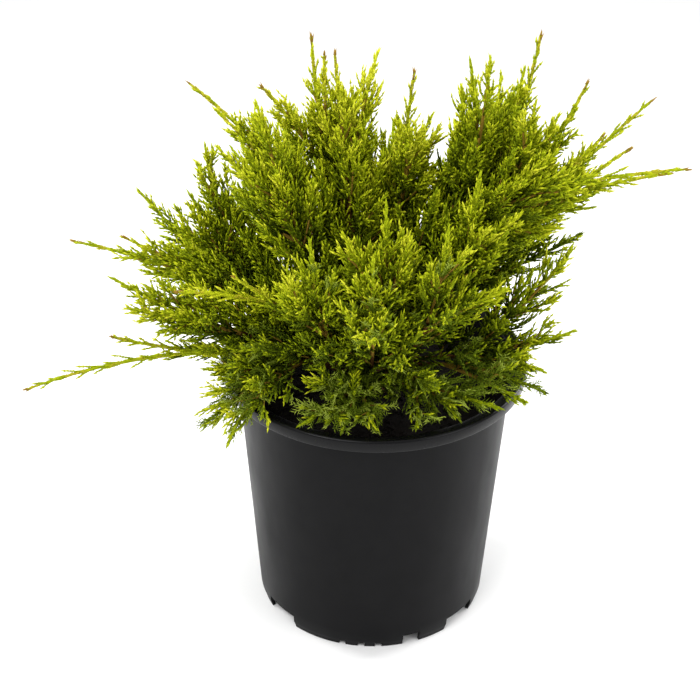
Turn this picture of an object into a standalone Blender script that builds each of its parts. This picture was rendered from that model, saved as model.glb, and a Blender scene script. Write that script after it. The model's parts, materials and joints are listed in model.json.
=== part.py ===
"""Spreading juniper in a black nursery pot.

Metres, +Z up, and -Y is the front. The ground is at Z = 0, and the finished plant is moved so that
the origin lies under the middle of its bounding box. Until then the pot's axis is the Z axis.
Pot, soil, trunk, boughs and masses of foliage are separate closed solids.
"""

import math
import random

import bmesh
import bpy
import numpy as np
from mathutils import Matrix, Vector
from mathutils.bvhtree import BVHTree

# Pot: a two gallon nursery pot, ten inches across its rim
RIM_R = 0.127
RIM_LIP = 0.0105
RIM_EDGE = 0.0022
POT_H = 0.2325
WALL_TOP_R = 0.1145
WALL_FOOT_R = 0.0982
WALL = 0.0018
BEAD_DROP = 0.0035
FOOT_H = 0.0055
FOOT_R = 0.0962
FLOOR_Z = 0.0140
FLOOR = 0.0020
TURN_STEPS = 44

# Drain notches in the pot's skirt: (width in degrees, height, where they are in degrees)
WIDE_NOTCH = (21.0, 0.0125, (217.0, 321.5, 89.0))
MID_NOTCH = (9.0, 0.0105, (290.5, 54.0, 172.0))
SMALL_NOTCH = (3.4, 0.0042, (255.0, 264.8, 273.5, 10.0, 20.0, 130.0, 140.0))

# Soil and trunk
FIT_GAP = 0.0003
SOIL_Z = 0.2045
SOIL_DOME = 0.0015
TRUNK_H = 0.086
TRUNK_LEAN = 0.006
TRUNK_FLARE_R = 0.0165
TRUNK_R = 0.0098
TRUNK_TOP_R = 0.0062

# Limbs: where they leave the trunk, and how they taper
LOWEST_LIMB = 0.010
LIMB_GAP = 0.0070
LIMB_TRIES = 40
LIMB_SAMPLES = 50
RISE_START = 22.0
RISE_SHARE = 0.62
ARCH_REACH = 0.50
RIM_CLEAR = 0.0045
BOUGH_SHARE = 0.26
BOUGH_POINTS = 5
BOUGH_R = 0.0031
STEM_R = 0.0023
STEM_TIP_R = 0.0014
STEM_POINTS = 6
WHIP_RADII = [0.0022, 0.0017, 0.0005]
FORK_SHARE = 0.50
FORK_POINTS = 3
FORK_BOW = 0.16

# Sprays: toothed blades, set round each leader by the golden angle
SPRAY_TURN = 137.5
SPRAY_STEP = 0.0262
SPRAY_FIRST = 0.04
SPRAY_LONG = 0.090
SPRAY_SHORT = 0.018
SPRAY_GROWTH = 0.85
SPRAY_SPREAD = 35.0
SPRAY_SPREAD_TIP = 22.0
SPRAY_WIDTH = 0.60
SPRAY_THICK = 0.05
SPRAY_DROOP = 0.40
SHORTER = (1.0, 0.82, 0.66, 0.52, 0.4)
TURN_TRIES = (0.0, 50.0, -50.0, 100.0, -100.0)
END_LONG = 0.034
FORK_WHIP = 0.018
FORK_WHIP_SHARE = 0.6
CLEARANCE = 0.0007
WELDS = (0.0000002, 0.000001, 0.000005, 0.00001)
SEED = 11

# The crown. Each mass has a name, whether a bough carries it, how much more than usual its limb
# rises at first (in degrees), how long the slim whip is that ends its leader, its leader's tip, and
# the tips of the side leaders that fork from it. A tip is its bearing in degrees from +X towards
# +Y, its reach from the pot's axis and its height above the ground.
CROWN = (
    ("far_left", True, 2, 0.150, (185, 0.289, 0.213), ((195, 0.217, 0.283),)),
    ("left", True, 4, 0.055, (178, 0.245, 0.334), ((179, 0.203, 0.341),)),
    ("left_front", True, -22, 0.024, (196, 0.214, 0.338), ((200, 0.207, 0.318),)),
    ("left_shoulder", False, -34, 0.040, (156, 0.219, 0.340), ((164, 0.144, 0.406), (173, 0.153, 0.364))),
    ("upper_left", True, 26, 0.060, (158, 0.163, 0.450), ((165, 0.134, 0.440),)),
    ("top_left", True, 2, 0.025, (201, 0.112, 0.448), ((192, 0.095, 0.469), (167, 0.131, 0.409))),
    ("top_peak_left", True, 0, 0.055, (143, 0.066, 0.499), ((206, 0.046, 0.510), (180, 0.090, 0.474))),
    ("top_peak", True, 12, 0.035, (180, 0.034, 0.502), ((91, 0.040, 0.487),)),
    ("inner_right", False, 10, 0.045, (66, 0.071, 0.460), ((354, 0.047, 0.443), (313, 0.048, 0.457))),
    ("top_right", True, -25, 0.030, (16, 0.073, 0.489), ((346, 0.085, 0.508), (28, 0.074, 0.460))),
    ("peak_right", True, -14, 0.050, (25, 0.141, 0.494), ((19, 0.121, 0.474), (37, 0.124, 0.455))),
    ("upper_right", True, -14, 0.035, (7, 0.163, 0.471), ((0, 0.139, 0.453), (346, 0.121, 0.477))),
    ("far_right_high", True, 3, 0.070, (10, 0.220, 0.449), ((3, 0.176, 0.431), (354, 0.194, 0.434))),
    ("far_right", True, 34, 0.090, (341, 0.240, 0.445), ((345, 0.225, 0.432),)),
    ("right", True, 10, 0.030, (346, 0.170, 0.394), ((339, 0.151, 0.383),)),
    ("right_rim", False, -24, 0.022, (339, 0.167, 0.294), ((329, 0.154, 0.269), (349, 0.156, 0.354))),
    ("right_front_low", False, 6, 0.018, (326, 0.161, 0.256), ((319, 0.153, 0.253),)),
    ("left_low", False, 8, 0.010, (212, 0.162, 0.219), ((223, 0.159, 0.217), (204, 0.150, 0.257))),
    ("front_low_left", False, 14, 0.015, (258, 0.127, 0.240), ((243, 0.129, 0.240), (270, 0.118, 0.240))),
    ("front_low_right", False, 14, 0.015, (302, 0.124, 0.240), ((285, 0.122, 0.240), (316, 0.136, 0.244))),
    ("front_left_high", True, 8, 0.060, (216, 0.186, 0.355), ((216, 0.135, 0.351),)),
    ("front_peak", True, -34, 0.026, (274, 0.080, 0.415), ((284, 0.101, 0.396), (254, 0.096, 0.396))),
    ("front_right_peak", True, -32, 0.022, (319, 0.100, 0.433), ((312, 0.122, 0.401), (325, 0.130, 0.405))),
    ("front_left", True, -32, 0.022, (243, 0.112, 0.393), ((238, 0.133, 0.363),)),
    ("front_middle", True, -30, 0.014, (268, 0.118, 0.387), ((260, 0.134, 0.347),)),
    ("front_right", True, -28, 0.018, (296, 0.117, 0.408), ((314, 0.139, 0.354),)),
    ("back_left", True, 6, 0.025, (130, 0.195, 0.352), ((118, 0.160, 0.395), (149, 0.172, 0.330))),
    ("back_top", True, 4, 0.025, (84, 0.150, 0.378), ((100, 0.115, 0.405), (68, 0.125, 0.400))),
    ("back_right", True, 6, 0.025, (52, 0.200, 0.345), ((66, 0.170, 0.375), (40, 0.165, 0.395))),
    ("back_left_low", True, 8, 0.030, (149, 0.215, 0.285), ((136, 0.190, 0.270), (162, 0.200, 0.280))),
    ("back_low", True, 8, 0.030, (100, 0.215, 0.275), ((82, 0.200, 0.260),)),
    ("back_right_low", True, 8, 0.030, (38, 0.205, 0.290), ((32, 0.135, 0.290), (55, 0.195, 0.280))),
)

PLASTIC_BLACK = (0.016, 0.016, 0.017)
SOIL_BROWN = (0.028, 0.018, 0.012)
BARK_BROWN = (0.190, 0.085, 0.040)
JUNIPER_GREEN = (0.200, 0.290, 0.020)


def material(name, colour, roughness):
    made = bpy.data.materials.new(name)
    made.use_nodes = True
    shader = made.node_tree.nodes["Principled BSDF"]
    shader.inputs["Base Color"].default_value = (*colour, 1.0)
    shader.inputs["Roughness"].default_value = roughness
    shader.inputs["Metallic"].default_value = 0.0
    return made


def add_object(name, data, collection, finish=None):
    obj = bpy.data.objects.new(name, data)
    collection.objects.link(obj)
    if finish:
        data.materials.append(finish)
    return obj


def bearing(degrees, rise=0.0):
    """The unit vector at a bearing from +X towards +Y, lifted by rise degrees."""
    turn, lift = math.radians(degrees), math.radians(rise)
    return Vector((math.cos(turn) * math.cos(lift), math.sin(turn) * math.cos(lift), math.sin(lift)))


def tip_place(tip):
    degrees, reach, height = tip
    return bearing(degrees) * reach + Vector((0, 0, height))


def turned(name, profile, collection, finish):
    """A solid of revolution: the profile runs from the axis out, up, and down its outer side."""
    mesh = bpy.data.meshes.new(name)
    points = [(r, 0.0, z) for r, z in profile]
    mesh.from_pydata(points, [(i, i + 1) for i in range(len(points) - 1)], [])
    obj = add_object(name, mesh, collection, finish)
    screw = obj.modifiers.new("turn", "SCREW")
    screw.steps = screw.render_steps = TURN_STEPS
    screw.use_merge_vertices = True
    screw.merge_threshold = 0.00005
    screw.use_smooth_shade = True
    return obj


def wall_radius(z):
    """The outer radius of the pot's straight wall at a height."""
    share = (z - FOOT_H) / (POT_H - RIM_LIP - FOOT_H)
    return WALL_FOOT_R + (WALL_TOP_R - WALL_FOOT_R) * share


def pot_profile():
    lip_z = POT_H - RIM_LIP
    bead_z = lip_z - BEAD_DROP
    inner_floor_r = wall_radius(FLOOR_Z) - WALL
    return (
        (0.0, FLOOR_Z),
        (inner_floor_r, FLOOR_Z),
        (wall_radius(lip_z) - WALL, lip_z),
        (wall_radius(lip_z) - WALL + RIM_EDGE, POT_H - RIM_EDGE),
        (RIM_R - RIM_EDGE * 2.4, POT_H - RIM_EDGE * 0.4),
        (RIM_R - RIM_EDGE, POT_H),
        (RIM_R, POT_H - RIM_EDGE),
        (RIM_R, lip_z),
        (RIM_R - WALL, lip_z),
        (WALL_TOP_R + RIM_EDGE, lip_z + RIM_EDGE),
        (WALL_TOP_R + RIM_EDGE, bead_z),
        (wall_radius(bead_z - RIM_EDGE), bead_z - RIM_EDGE),
        (WALL_FOOT_R, FOOT_H),
        (FOOT_R, 0.0),
        (FOOT_R - WALL * 1.5, 0.0),
        (inner_floor_r - WALL, FLOOR_Z - FLOOR),
        (0.0, FLOOR_Z - FLOOR),
    )


def notch_cutters(kind, name, collection):
    """Boxes through the skirt, one for each drain notch of this kind."""
    width_deg, height, places = kind
    length = WALL_FOOT_R - FOOT_R + 0.016
    for index, place in enumerate(places):
        bm = bmesh.new()
        bmesh.ops.create_cube(bm, size=1.0)
        width = 2 * FOOT_R * math.sin(math.radians(width_deg / 2))
        bmesh.ops.scale(bm, vec=(length, width, height * 2), verts=bm.verts)
        mesh = bpy.data.meshes.new(f"{name}_{index}")
        bm.to_mesh(mesh)
        bm.free()
        cutter = add_object(f"{name}_{index}", mesh, collection)
        cutter.matrix_world = Matrix.Translation(bearing(place) * FOOT_R) @ Matrix.Rotation(
            math.radians(place), 4, "Z"
        )
        cutter.hide_render = True
        cutter.display_type = "WIRE"


def make_pot(parts, cutters):
    pot = turned("pot", pot_profile(), parts, material("black_plastic", PLASTIC_BLACK, 0.42))
    notch_cutters(WIDE_NOTCH, "wide_notch", cutters)
    notch_cutters(MID_NOTCH, "mid_notch", cutters)
    notch_cutters(SMALL_NOTCH, "small_notch", cutters)
    cut = pot.modifiers.new("drain_notches", "BOOLEAN")
    cut.operation = "DIFFERENCE"
    cut.operand_type = "COLLECTION"
    cut.collection = cutters
    cut.solver = "EXACT"
    return pot


def make_soil(parts):
    """The root ball fills the pot from its floor to a little under the rim."""
    low, high = FLOOR_Z + FIT_GAP, SOIL_Z - SOIL_DOME
    profile = (
        (0.0, SOIL_Z),
        (wall_radius(high) - WALL - FIT_GAP * 1.5, high),
        (wall_radius(low) - WALL - FIT_GAP * 1.5, low),
        (0.0, low),
    )
    return turned("soil", profile, parts, material("potting_mix", SOIL_BROWN, 0.95))


def trunk_point(height):
    """A point on the trunk's line, and the trunk's radius there."""
    share = height / TRUNK_H
    flare = (TRUNK_FLARE_R - TRUNK_R) * max(0.0, 1 - share * 4.5) ** 2
    radius = TRUNK_R + (TRUNK_TOP_R - TRUNK_R) * share + flare
    lean = bearing(150) * TRUNK_LEAN * share**2
    return lean + Vector((0, 0, SOIL_Z + FIT_GAP + height)), radius


def tube(name, points, radii, resolution, collection, finish):
    """A tapering limb: a poly curve with a round bevel and filled caps."""
    curve = bpy.data.curves.new(name, "CURVE")
    curve.dimensions = "3D"
    curve.bevel_depth = 1.0
    curve.bevel_resolution = resolution
    curve.use_fill_caps = True
    spline = curve.splines.new("POLY")
    spline.points.add(len(points) - 1)
    for point, place, radius in zip(spline.points, points, radii):
        point.co = (*place, 1.0)
        point.radius = radius
    return add_object(name, curve, collection, finish)


def make_trunk(parts, bark):
    heights = [TRUNK_H * share for share in (0.0, 0.06, 0.14, 0.25, 0.45, 0.7, 0.9, 1.0)]
    placed = [trunk_point(height) for height in heights]
    return tube("trunk", [p for p, _ in placed], [r for _, r in placed], 2, parts, bark)


def bend(start, control, end, count, first=0.0, last=1.0):
    """Points along a quadratic arc between two shares of its way."""
    places = []
    for step in range(count):
        t = first + (last - first) * step / (count - 1)
        places.append(start * (1 - t) ** 2 + control * 2 * t * (1 - t) + end * t * t)
    return places


def over_rim(places):
    """Whether a line passes clear over the rim of the pot, and over the soil inside it."""
    inside = [p for p in places if p.xy.length < RIM_R + RIM_CLEAR]
    crossing = [p for p in inside if p.xy.length > WALL_TOP_R - RIM_CLEAR]
    return all(p.z > POT_H + RIM_CLEAR for p in crossing) and all(
        p.z > SOIL_Z + RIM_CLEAR for p in inside[3:]
    )


def limb_arc(entry, height):
    """Start, control and end of the arc from the trunk's side to a leader's tip."""
    _, _, arch, _, tip, _ = entry
    axis_point, trunk_r = trunk_point(height)
    end = tip_place(tip)
    away = end - axis_point
    chord = math.degrees(math.atan2(away.z, away.xy.length))
    turn = math.degrees(math.atan2(away.y, away.x))
    for lift in range(0, 60, 3):
        rise = min(RISE_START + RISE_SHARE * chord + arch + lift, 86.0)
        clear = trunk_r + BOUGH_R * math.sin(math.radians(rise)) + FIT_GAP * 2
        start = axis_point + bearing(turn) * clear
        control = start + bearing(turn, rise) * (end - start).length * ARCH_REACH
        if over_rim(bend(start, control, end, 30)):
            break
    return start, control, end


def nearest(line, other):
    """The least distance between the points of two lines."""
    return np.linalg.norm(line[:, None] - other[None], axis=2).min()


def limb_heights():
    """The height on the trunk where each limb leaves it: flat limbs low, steep ones high.

    Each takes the lowest place at which its line keeps clear of all those before it.
    """

    def steepness(entry):
        _, reach, height = entry[4]
        return math.atan2(height - SOIL_Z, reach)

    heights, lines = {}, []
    for entry in sorted(CROWN, key=steepness):
        best_gap = -1.0
        for step in range(LIMB_TRIES):
            height = LOWEST_LIMB + (TRUNK_H - LOWEST_LIMB) * step / (LIMB_TRIES - 1)
            own = [np.array(bend(*limb_arc(entry, height), LIMB_SAMPLES))]
            own += [np.array(fork.places) for fork in leaders_of(entry, height)[1:]]
            gap = min((nearest(a, b) for a in own for b in lines), default=1.0)
            if gap > best_gap:
                best_gap, heights[entry[0]], best = gap, height, own
            if gap > LIMB_GAP:
                break
        lines += best
    return heights


class Leader:
    """One shoot of a mass: its points, and its radius along them.

    It tapers from its root, and its end swells again into a slim whip clothed in leaves.
    """

    def __init__(self, arc, count, first, root_r, whip):
        start, control, end = arc
        reach = (end - control).length * 2
        share = min(whip, END_LONG) / reach
        body = bend(start, control, end, count, first, 1 - share)
        tip = bend(start, control, end, len(WHIP_RADII) + 1, 1 - share, 1.0)[1:]
        self.places = places = body + tip
        self.whip = whip
        self.radii = [root_r + (STEM_TIP_R - root_r) * i / (count - 1) for i in range(count)]
        self.radii += WHIP_RADII
        self.steps = [(b - a).length for a, b in zip(places, places[1:])]
        self.length = sum(self.steps)

    def at(self, distance):
        """The point and the direction at a distance along the shoot."""
        for a, b, step in zip(self.places, self.places[1:], self.steps):
            if distance <= step:
                return a.lerp(b, distance / step), (b - a).normalized()
            distance -= step
        return self.places[-1], (self.places[-1] - self.places[-2]).normalized()


def distance_to_line(point, places):
    best = math.inf
    for a, b in zip(places, places[1:]):
        along = b - a
        t = min(1.0, max(0.0, (point - a).dot(along) / along.length_squared))
        best = min(best, (point - a - along * t).length)
    return best


def three_sided(places, radii, name):
    """A three-sided tapering stem: rings of a triangle, joined and closed."""
    bm = bmesh.new()
    rings = []
    facing = (places[1] - places[0]).normalized()
    turn = facing.to_track_quat("Z", "Y")
    for index, (place, radius) in enumerate(zip(places, radii)):
        before = places[max(index - 1, 0)]
        after = places[min(index + 1, len(places) - 1)]
        onward = (after - before).normalized()
        turn = facing.rotation_difference(onward) @ turn
        facing = onward
        ring = bmesh.ops.create_circle(
            bm,
            segments=3,
            radius=radius,
            matrix=Matrix.Translation(place) @ turn.to_matrix().to_4x4(),
        )
        rings.append(ring["verts"])
    for low, high in zip(rings, rings[1:]):
        for corner in range(3):
            beside = (corner + 1) % 3
            bm.faces.new((low[corner], low[beside], high[beside], high[corner]))
    bm.faces.new(rings[0])
    bm.faces.new(rings[-1])
    bmesh.ops.recalc_face_normals(bm, faces=bm.faces)
    mesh = bpy.data.meshes.new(name)
    bm.to_mesh(mesh)
    bm.free()
    return mesh


# A spray's outline on each side, from root to tip: (share of length, share of half width)
RIGHT_TEETH = ((0.36, 1.0), (0.45, 0.34), (0.72, 0.74))
LEFT_TEETH = ((0.24, 0.82), (0.38, 0.34), (0.58, 0.92))
RIB = 0.42


def toothed_blade(name, root, along, flat, length, width):
    """A spray: a thin blade with forward teeth on both sides, raised along its middle."""
    side = flat.cross(along).normalized()
    thick = length * SPRAY_THICK / 2
    bm = bmesh.new()

    def vertex(share, across, lift=0.0):
        return bm.verts.new(root + along * share * length + side * across * width / 2 + flat * lift * thick)

    base, tip = vertex(0.0, 0.0), vertex(1.0, 0.0)
    right = [vertex(share, across) for share, across in RIGHT_TEETH]
    left = [vertex(share, -across) for share, across in LEFT_TEETH]
    edge = [base, *right, tip, *reversed(left)]
    for lift in (1.0, -1.0):
        rib = vertex(RIB, 0.0, lift)
        for index, corner in enumerate(edge):
            bm.faces.new((corner, edge[(index + 1) % len(edge)], rib))
    bmesh.ops.recalc_face_normals(bm, faces=bm.faces)
    mesh = bpy.data.meshes.new(name)
    bm.to_mesh(mesh)
    bm.free()
    return mesh


def tree_of(mesh, grow=0.0):
    """A mesh's faces for touch tests, grown outwards by a margin."""
    middle = sum((v.co for v in mesh.vertices), Vector()) / len(mesh.vertices)
    size = max((v.co - middle).length for v in mesh.vertices)
    points = [middle + (v.co - middle) * (1 + grow / size) + v.normal * grow for v in mesh.vertices]
    return BVHTree.FromPolygons(points, [tuple(p.vertices) for p in mesh.polygons])


def mesh_of(obj):
    graph = bpy.context.evaluated_depsgraph_get()
    return bpy.data.meshes.new_from_object(obj.evaluated_get(graph))


def leaders_of(entry, height):
    """The stem of a mass from its bough's tip, and the side leaders that fork from it."""
    _, carried, _, whip, _, forks = entry
    start, control, end = limb_arc(entry, height)
    length = (control - start).length + (end - control).length
    first = BOUGH_SHARE + FIT_GAP * 2 / length if carried else 0.0
    root_r = STEM_R if carried else STEM_R * 1.2
    stem = Leader((start, control, end), STEM_POINTS, first, root_r, whip)
    found = [stem]
    for fork in forks:
        split, onward = stem.at(stem.length * FORK_SHARE * (0.5 if carried else 0.8))
        end = tip_place(fork)
        middle = split.lerp(end, 0.5) + onward * (end - split).length * FORK_BOW
        for _ in range(12):
            if over_rim(bend(split, middle, end, 30)):
                break
            middle.z += RIM_CLEAR
        fork_whip = max(FORK_WHIP, whip * FORK_WHIP_SHARE)
        found.append(Leader((split, middle, end), FORK_POINTS, 0.0, STEM_R * 0.8, fork_whip))
    return found


def spray_places(leader, dice):
    """Where the sprays of a leader root, which way they turn and how long they are, by a seeded rule."""
    count = max(int(leader.length * (1 - SPRAY_FIRST) / SPRAY_STEP), 1)
    turn = dice.uniform(0, 360)
    for index in range(count):
        share = SPRAY_FIRST + (1 - SPRAY_FIRST) * index / count
        turn += SPRAY_TURN + dice.uniform(-15, 15)
        spread = SPRAY_SPREAD + (SPRAY_SPREAD_TIP - SPRAY_SPREAD) * share + dice.uniform(-5, 5)
        left = (1 - share) * leader.length
        if left < min(leader.whip, END_LONG):
            break
        length = SPRAY_SHORT + max(0.0, left - leader.whip) * SPRAY_GROWTH
        yield share, turn, spread, min(length, SPRAY_LONG) * dice.uniform(0.9, 1.1)


def spray_at(name, leader, share, turn, spread, length):
    """One spray, its root sunk in the leader, its flat side facing away from it.

    There is none where it would hang well under its leader.
    """
    root, onward = leader.at(share * leader.length)
    out = Matrix.Rotation(math.radians(turn), 3, onward) @ onward.orthogonal().normalized()
    lean = math.radians(spread)
    along = onward * math.cos(lean) + out * math.sin(lean)
    if along.z < onward.z - SPRAY_DROOP:
        return None
    flat = (out - along * out.dot(along)).normalized()
    return toothed_blade(name, root, along, flat, length, length * SPRAY_WIDTH)


def keep_outer_shell(mesh):
    """Drop loose scraps and fill sealed hollows: only the shell with the most faces stays."""
    bm = bmesh.new()
    bm.from_mesh(mesh)
    bmesh.ops.triangulate(bm, faces=bm.faces)
    left, shells = set(bm.faces), []
    while left:
        shell, edge = set(), [left.pop()]
        while edge:
            face = edge.pop()
            shell.add(face)
            joined = [e for e in face.edges if len(e.link_faces) == 2]
            for beside in (f for e in joined for f in e.link_faces if f in left):
                left.discard(beside)
                edge.append(beside)
        shells.append(shell)
    whole = max(shells, key=len)
    spare = [face for shell in shells if shell is not whole for face in shell]
    bmesh.ops.delete(bm, geom=spare, context="FACES")
    bm.to_mesh(mesh)
    bm.free()


def sound(mesh, weld, shift):
    """Whether a mesh of triangles stays one closed body once the points of a cell are made one."""
    count = len(mesh.vertices)
    places = np.empty(count * 3)
    mesh.vertices.foreach_get("co", places)
    cells = np.floor(places.reshape(-1, 3) / weld + shift)
    _, same = np.unique(cells, axis=0, return_inverse=True)
    corners = np.empty(len(mesh.polygons) * 3, dtype=np.int64)
    mesh.polygons.foreach_get("vertices", corners)
    faces = same.reshape(-1)[corners].reshape(-1, 3)
    faces = faces[[len(set(face)) == 3 for face in faces.tolist()]]
    edges = np.sort(np.concatenate([faces[:, [0, 1]], faces[:, [1, 2]], faces[:, [2, 0]]]), axis=1)
    _, edge, uses = np.unique(edges, axis=0, return_inverse=True, return_counts=True)
    if not (uses == 2).all():
        return False
    beside = (np.argsort(edge.reshape(-1), kind="stable") % len(faces)).reshape(-1, 2)
    body, before = np.arange(len(faces)), None
    while not np.array_equal(body, before):
        before = body.copy()
        lowest = body[beside].min(axis=1)
        np.minimum.at(body, beside[:, 0], lowest)
        np.minimum.at(body, beside[:, 1], lowest)
    return not body.any()


def union(name, meshes, collection):
    """The first mesh's object, after one Boolean union with the rest."""
    rest = bpy.data.collections.new(f"{name}_sprays")
    bpy.context.scene.collection.children.link(rest)
    whole = add_object(name, meshes[0], collection)
    for index, mesh in enumerate(meshes[1:]):
        add_object(f"{name}_{index}", mesh, rest)
    join = whole.modifiers.new("fuse", "BOOLEAN")
    join.operation = "UNION"
    join.operand_type = "COLLECTION"
    join.collection = rest
    join.solver = "MANIFOLD"
    bpy.context.view_layer.update()
    joined = mesh_of(whole)
    keep_outer_shell(joined)
    whole.modifiers.clear()
    whole.data = joined
    for obj in list(rest.objects):
        bpy.data.objects.remove(obj)
    bpy.data.collections.remove(rest)
    return whole


def fused(name, stems, sprays, collection, finish):
    """One solid of stems and sprays. If it comes out flawed, it is made again with a spray less."""
    for left_out in range(-1, len(sprays)):
        kept = [spray for index, spray in enumerate(sprays) if index != left_out]
        whole = union(name, stems + kept, collection)
        if all(sound(whole.data, weld, shift) for weld in WELDS for shift in (0.0, 0.5)):
            break
        bpy.data.objects.remove(whole)
    whole.data.materials.append(finish)


def make_crown(parts, solid_pieces, bark, foliage):
    dice = random.Random(SEED)
    heights = limb_heights()
    leaders = {entry[0]: leaders_of(entry, heights[entry[0]]) for entry in CROWN}
    limbs = [tree_of(mesh_of(obj), CLEARANCE) for obj in solid_pieces]
    for entry in CROWN:
        name, carried = entry[:2]
        if not carried:
            continue
        start, control, end = limb_arc(entry, heights[name])
        places = bend(start, control, end, BOUGH_POINTS, 0.0, BOUGH_SHARE)
        radii = [BOUGH_R + (STEM_R - BOUGH_R) * i / (BOUGH_POINTS - 1) for i in range(BOUGH_POINTS)]
        bough = tube(f"bough_{name}", places, radii, 0, parts, bark)
        limbs.append(tree_of(mesh_of(bough), CLEARANCE))
    stems = {
        name: [three_sided(leader.places, leader.radii, name) for leader in found]
        for name, found in leaders.items()
    }
    taken = {name: [tree_of(mesh, CLEARANCE) for mesh in meshes] for name, meshes in stems.items()}
    for name, found in leaders.items():
        others = [
            leader.places for other, theirs in leaders.items() if other != name for leader in theirs
        ]
        mine = [leader.places for leader in found]
        near = [trees for key, trees in taken.items() if key != name]

        def fits(mesh, root, length, blades):
            corners = [v.co for v in mesh.vertices if (v.co - root).length > length * 0.2]
            for corner in corners:
                own = min(distance_to_line(corner, line) for line in mine)
                if own + CLEARANCE > min(distance_to_line(corner, line) for line in others):
                    return False
            tree = tree_of(mesh)
            near_by = limbs + [t for trees in near for t in trees] + blades
            return not any(tree.overlap(other) for other in near_by)

        def first_fit(leader, blades, share, turn, spread, length):
            root, _ = leader.at(share * leader.length)
            for shorter in SHORTER:
                for more in TURN_TRIES:
                    mesh = spray_at(name, leader, share, turn + more, spread, length * shorter)
                    if mesh and fits(mesh, root, length * shorter, blades):
                        return mesh
            return None

        blades, trees = [], []
        for leader in found:
            for place in spray_places(leader, dice):
                blade = first_fit(leader, trees, *place)
                if blade:
                    blades.append(blade)
                    trees.append(tree_of(blade))
        taken[name] += [tree_of(mesh, CLEARANCE) for mesh in blades]
        fused(f"foliage_{name}", stems[name], blades, parts, foliage)


def stand_over_origin(parts, cutters):
    """Move the whole plant so that the origin lies under the middle of its bounding box."""
    corners = np.array([v.co for obj in parts.objects for v in mesh_of(obj).vertices])
    middle = (corners.min(axis=0) + corners.max(axis=0)) / 2
    for obj in [*parts.objects, *cutters.objects]:
        obj.location.x -= middle[0]
        obj.location.y -= middle[1]


def main():
    for obj in list(bpy.data.objects):
        bpy.data.objects.remove(obj)
    parts = bpy.data.collections.new("potted_juniper")
    cutters = bpy.data.collections.new("cutters")
    bpy.context.scene.collection.children.link(parts)
    bpy.context.scene.collection.children.link(cutters)
    bark = material("bark", BARK_BROWN, 0.85)
    foliage = material("juniper", JUNIPER_GREEN, 0.6)
    pot = make_pot(parts, cutters)
    soil = make_soil(parts)
    trunk = make_trunk(parts, bark)
    bpy.context.view_layer.update()
    make_crown(parts, [pot, soil, trunk], bark, foliage)
    stand_over_origin(parts, cutters)


main()
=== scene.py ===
"""The looks of a spreading juniper in a black nursery pot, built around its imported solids."""

import json
import math
import random

import bmesh
import bpy
import numpy as np
from mathutils import Matrix, Vector

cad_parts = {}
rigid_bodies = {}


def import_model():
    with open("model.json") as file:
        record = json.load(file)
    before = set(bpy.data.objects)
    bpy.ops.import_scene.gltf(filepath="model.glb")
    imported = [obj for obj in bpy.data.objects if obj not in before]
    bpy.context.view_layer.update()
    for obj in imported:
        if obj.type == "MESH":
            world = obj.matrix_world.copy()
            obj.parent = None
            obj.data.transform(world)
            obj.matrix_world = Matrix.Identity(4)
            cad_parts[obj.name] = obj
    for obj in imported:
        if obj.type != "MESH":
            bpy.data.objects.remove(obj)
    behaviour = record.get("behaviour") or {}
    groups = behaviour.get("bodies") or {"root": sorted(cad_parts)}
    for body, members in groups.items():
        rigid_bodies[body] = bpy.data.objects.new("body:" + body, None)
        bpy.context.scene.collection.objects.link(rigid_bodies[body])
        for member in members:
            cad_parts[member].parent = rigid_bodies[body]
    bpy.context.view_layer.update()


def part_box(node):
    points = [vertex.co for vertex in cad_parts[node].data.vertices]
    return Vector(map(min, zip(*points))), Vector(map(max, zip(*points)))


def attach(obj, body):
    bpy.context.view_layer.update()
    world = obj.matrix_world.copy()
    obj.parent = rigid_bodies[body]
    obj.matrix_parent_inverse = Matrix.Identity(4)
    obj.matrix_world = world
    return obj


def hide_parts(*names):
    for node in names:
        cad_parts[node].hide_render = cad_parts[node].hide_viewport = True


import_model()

# The pot: a two gallon nursery pot of thin black polypropylene, injection moulded. Its rim turns
# over and down into a band, and the skirt under its raised floor is notched so that water drains.
POT_LOW, POT_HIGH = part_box("pot")
POT_AXIS = Vector(((POT_LOW.x + POT_HIGH.x) / 2, (POT_LOW.y + POT_HIGH.y) / 2, 0))
RIM_R = (POT_HIGH.x - POT_LOW.x) / 2
POT_H = POT_HIGH.z
RIM_LIP = 0.0105
RIM_EDGE = 0.0022
LIP_EDGE = ((0.0003, 0.0008), (0.0008, 0.0))
WALL_TOP_R = RIM_R * 0.9016
WALL_FOOT_R = RIM_R * 0.7732
WALL = 0.0018
WALL_RINGS = (0.022, 0.018)
BEAD_DROP = 0.0035
BEAD_ROUND = 0.0008
FOOT_H = 0.0055
FOOT_R = RIM_R * 0.7575
FOOT_EDGE = ((0.0001, 0.0012), (-0.0006, -0.0004))
FLOOR_Z = 0.0140
FLOOR = 0.0020
FLOOR_CORNER = 0.003
POT_STEPS = 192
SHARP_EDGE = 32
NOTCH_DEEP = 0.020

# Each kind of notch: its width in degrees, its height, and the bearings where it is cut.
WIDE_NOTCH = (21.0, 0.0125, (217.0, 321.5, 89.0))
MID_NOTCH = (9.0, 0.0105, (290.5, 54.0, 172.0))
SMALL_NOTCH = (3.4, 0.0042, (255.0, 264.8, 273.5, 10.0, 20.0, 130.0, 140.0))


def new_material(name, colour, roughness, gloss=0.5):
    """A material of one colour, with its gloss as the shader's specular level."""
    made = bpy.data.materials.new(name)
    made.use_nodes = True
    shader = made.node_tree.nodes["Principled BSDF"]
    shader.inputs["Base Color"].default_value = (*colour, 1.0)
    shader.inputs["Roughness"].default_value = roughness
    shader.inputs["Specular IOR Level"].default_value = gloss
    return made


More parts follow.
